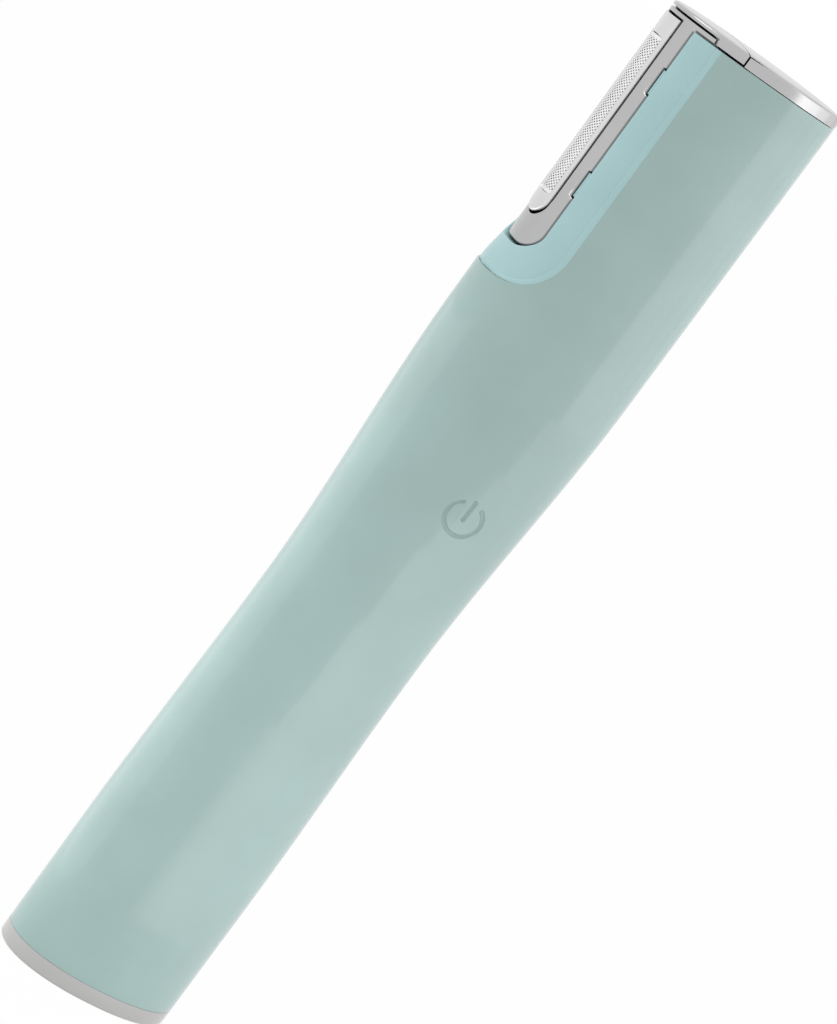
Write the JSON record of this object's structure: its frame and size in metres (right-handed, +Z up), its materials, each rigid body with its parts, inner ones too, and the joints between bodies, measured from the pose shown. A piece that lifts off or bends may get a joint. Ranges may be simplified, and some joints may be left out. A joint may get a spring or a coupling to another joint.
{
  "type": "electric lady shaver",
  "caption": "Slim oval electric lady shaver: sage wand, foil cassette let into one edge of its top, chrome top band, round power button and pull-off base cap.",
  "frame": {"origin": "centre of the base cap's flat underside, at the bottom of the box", "axes": "+Z up the wand towards the head, -X the way the foil faces, -Y the way the power button faces"},
  "size_m": [0.0282, 0.0172, 0.15],
  "materials": {
    "sage_plastic": "satin moulded",
    "pale_blue_plastic": "satin moulded",
    "chrome": "bright plated",
    "foil_steel": "fine etched foil",
    "steel": "plain",
    "white_plastic": "moulded",
    "dark_plastic": "moulded",
    "rubber": "soft",
    "brass": "plain",
    "board_green": "solder mask",
    "battery_jacket": "printed sleeve without words",
    "pale_grey_plastic": "semi-translucent moulded",
    "red_lead": "wire sleeve",
    "black_lead": "wire sleeve"
  },
  "bodies": {
    "wand": {"front_casing": "sage_plastic", "rear_cover": "sage_plastic", "head_surround": "pale_blue_plastic", "top_cap": "chrome", "drive_seal": "rubber", "drive_chassis": "dark_plastic", "motor_can": "steel", "motor_end_bell": "dark_plastic", "motor_clamp": "steel", "clamp_screw_lower": "steel", "clamp_screw_upper": "steel", "circuit_board": "board_green", "board_screw_lower": "steel", "board_screw_upper": "steel", "tact_switch": "steel", "battery_sleeve": "dark_plastic", "battery_cell": "battery_jacket", "positive_contact": "brass", "negative_strip": "brass", "lead_red": "red_lead", "lead_black": "black_lead"},
    "cassette": {"cassette_frame": "chrome", "head_cap": "chrome", "foil_spring_lower": "steel", "foil_spring_upper": "steel"},
    "foil": {"foil_holder": "chrome", "shaving_foil": "foil_steel"},
    "bridge": {"drive_bridge": "white_plastic", "cutter_seat": "dark_plastic", "cutter_leaf_spring": "steel"},
    "cutter": {"cutter_block": "steel", "cutter_carrier": "white_plastic"},
    "rotor": {"motor_shaft": "steel", "crank_cam": "brass"},
    "button": {"power_button": "sage_plastic"},
    "plunger": {"switch_plunger": "dark_plastic"},
    "base": {"base_cap": "pale_grey_plastic", "base_seal": "rubber", "contact_plate": "brass", "negative_spring": "steel"}
  },
  "joints": [
    {"name": "cassette_release", "type": "slide", "parent": "wand", "child": "cassette", "axis": [-1, 0, 0], "range_m": [0, 0.01]},
    {"name": "foil_float", "type": "slide", "parent": "cassette", "child": "foil", "axis": [1, 0, 0], "range_m": [0, 0.0005], "stiffness_N_per_m": 600, "springref_m": -0.0005, "deforming": ["foil_spring_lower", "foil_spring_upper"]},
    {"name": "blade_slide", "type": "slide", "parent": "wand", "child": "bridge", "axis": [0, 0, 1], "range_m": [-0.0008, 0.0008]},
    {"name": "cutter_float", "type": "slide", "parent": "bridge", "child": "cutter", "axis": [1, 0, 0], "range_m": [0, 0.0005], "deforming": ["cutter_leaf_spring"]},
    {"name": "motor_spin", "type": "hinge", "parent": "wand", "child": "rotor", "pos_m": [-0.0034, 0, 0.13305], "axis": [1, 0, 0], "continuous": true},
    {"name": "button_press", "type": "slide", "parent": "wand", "child": "button", "axis": [0, 1, 0], "range_m": [0, 0.0005], "stiffness_N_per_m": 1000, "springref_m": -0.0002},
    {"name": "plunger_press", "type": "slide", "parent": "wand", "child": "plunger", "axis": [0, 1, 0], "range_m": [0, 0.0005]},
    {"name": "base_release", "type": "slide", "parent": "wand", "child": "base", "axis": [0, 0, -1], "range_m": [0, 0.01]}
  ],
  "couplings": [
    {"joint": "cutter_float", "follows": "foil_float", "ratio": 1},
    {"joint": "plunger_press", "follows": "button_press", "ratio": 1}
  ]
}
